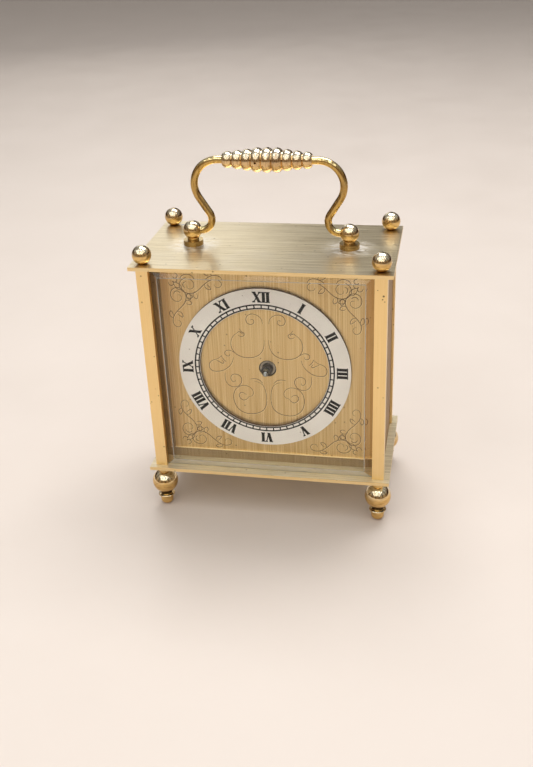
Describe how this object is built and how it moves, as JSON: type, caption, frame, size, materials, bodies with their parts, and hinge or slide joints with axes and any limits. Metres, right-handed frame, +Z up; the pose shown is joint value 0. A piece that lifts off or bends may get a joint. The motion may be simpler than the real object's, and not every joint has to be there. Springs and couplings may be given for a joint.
{
  "type": "mantel clock",
  "caption": "Brass carriage-style mantel clock with a silvered chapter ring on an engraved dial, bevelled front glass, ball finials, turned feet, rear door and a swinging bail handle.",
  "frame": {"origin": "on the floor, under the middle of the case", "axes": "+X to the clock's right as seen from the front, +Y to the back, +Z up; the dial faces -Y"},
  "size_m": [0.1116, 0.0622, 0.1632],
  "materials": {
    "brushed_brass": "brushed",
    "satin_brass": "satin",
    "polished_brass": "polished",
    "clear_glass": "polished",
    "dial_gold": "brushed upright",
    "bronze_trim": "satin",
    "silvered_ring": "satin",
    "steel": "satin",
    "copper_wire": "enamelled",
    "board_green": "matte",
    "battery_wrap": "gloss",
    "black_plastic": "matte",
    "white_plastic": "matte"
  },
  "bodies": {
    "case": {"base_plate": "brushed_brass", "top_plate": "brushed_brass", "pillar_front_left": "satin_brass", "pillar_front_right": "satin_brass", "pillar_rear_left": "satin_brass", "pillar_rear_right": "satin_brass", "foot_front_left": "polished_brass", "foot_front_right": "polished_brass", "foot_rear_left": "polished_brass", "foot_rear_right": "polished_brass", "finial_front_left": "polished_brass", "finial_front_right": "polished_brass", "finial_rear_left": "polished_brass", "finial_rear_right": "polished_brass", "front_glass": "clear_glass", "side_panel_left": "brushed_brass", "side_panel_right": "brushed_brass", "door_pin_lower": "steel", "door_pin_upper": "steel", "door_stop": "satin_brass", "handle_post_left": "polished_brass", "handle_collar_left": "polished_brass", "handle_nut_left": "steel", "handle_post_right": "polished_brass", "handle_collar_right": "polished_brass", "handle_nut_right": "steel", "dial_plate": "dial_gold", "chapter_ring": "silvered_ring", "dial_border_bottom": "bronze_trim", "dial_border_right": "bronze_trim", "dial_border_top": "bronze_trim", "dial_border_left": "bronze_trim", "dial_block_lower_left": "satin_brass", "dial_block_lower_right": "satin_brass", "dial_block_upper_left": "satin_brass", "dial_block_upper_right": "satin_brass", "movement_case": "black_plastic", "movement_bridge": "black_plastic", "movement_cover": "black_plastic", "centre_bush": "steel", "stator": "steel", "coil_core": "steel", "coil_winding": "copper_wire", "circuit_board": "board_green", "battery": "battery_wrap", "contact_positive": "steel", "contact_negative": "steel"},
    "handle": {"handle_rod": "polished_brass", "handle_grip": "polished_brass"},
    "door": {"rear_door": "brushed_brass", "door_knob": "polished_brass"},
    "minute_arbor_body": {"minute_arbor": "steel"},
    "minute_wheel_body": {"minute_wheel": "white_plastic"},
    "hour_wheel_body": {"hour_wheel": "black_plastic"},
    "setting_knob_body": {"setting_knob": "black_plastic"},
    "drive_wheel_body": {"drive_wheel": "white_plastic"},
    "third_wheel_body": {"third_wheel": "white_plastic"},
    "seconds_wheel_body": {"seconds_wheel": "white_plastic"},
    "intermediate_wheel_body": {"intermediate_wheel": "white_plastic"},
    "rotor_body": {"rotor": "white_plastic"}
  },
  "joints": [
    {"name": "handle_swing", "type": "hinge", "parent": "case", "child": "handle", "pos_m": [0, 0, 0.1271], "axis": [1, 0, 0], "range_deg": [-90, 90]},
    {"name": "rear_door_hinge", "type": "hinge", "parent": "case", "child": "door", "pos_m": [-0.0459, 0.02515, 0.0701], "axis": [0, 0, 1], "range_deg": [0, 100]},
    {"name": "minute_arbor_spin", "type": "hinge", "parent": "case", "child": "minute_arbor_body", "pos_m": [0, -0.0075, 0.0701], "axis": [0, 1, 0], "continuous": true},
    {"name": "hour_wheel_spin", "type": "hinge", "parent": "case", "child": "hour_wheel_body", "pos_m": [0, -0.0075, 0.0701], "axis": [0, 1, 0], "continuous": true},
    {"name": "drive_wheel_spin", "type": "hinge", "parent": "case", "child": "drive_wheel_body", "pos_m": [0, -0.0075, 0.0701], "axis": [0, 1, 0], "continuous": true},
    {"name": "minute_wheel_spin", "type": "hinge", "parent": "case", "child": "minute_wheel_body", "pos_m": [0.00985, -0.0075, 0.06836], "axis": [0, 1, 0], "continuous": true},
    {"name": "setting_knob_spin", "type": "hinge", "parent": "case", "child": "setting_knob_body", "pos_m": [0.01891, -0.0075, 0.06414], "axis": [0, 1, 0], "continuous": true},
    {"name": "third_wheel_spin", "type": "hinge", "parent": "case", "child": "third_wheel_body", "pos_m": [0.00765, -0.0075, 0.07922], "axis": [0, 1, 0], "continuous": true},
    {"name": "seconds_wheel_spin", "type": "hinge", "parent": "case", "child": "seconds_wheel_body", "pos_m": [-0.0017, -0.0075, 0.08462], "axis": [0, 1, 0], "continuous": true},
    {"name": "intermediate_wheel_spin", "type": "hinge", "parent": "case", "child": "intermediate_wheel_body", "pos_m": [-0.01157, -0.0075, 0.08102], "axis": [0, 1, 0], "continuous": true},
    {"name": "rotor_spin", "type": "hinge", "parent": "case", "child": "rotor_body", "pos_m": [-0.01607, -0.0075, 0.07323], "axis": [0, 1, 0], "continuous": true}
  ],
  "couplings": [
    {"joint": "minute_wheel_spin", "follows": "minute_arbor_spin", "ratio": -0.33333},
    {"joint": "hour_wheel_spin", "follows": "minute_arbor_spin", "ratio": 0.083333},
    {"joint": "setting_knob_spin", "follows": "minute_arbor_spin", "ratio": 1},
    {"joint": "intermediate_wheel_spin", "follows": "rotor_spin", "ratio": -0.2},
    {"joint": "seconds_wheel_spin", "follows": "rotor_spin", "ratio": 0.033333},
    {"joint": "third_wheel_spin", "follows": "rotor_spin", "ratio": -0.0041667},
    {"joint": "drive_wheel_spin", "follows": "rotor_spin", "ratio": 0.00055556}
  ]
}
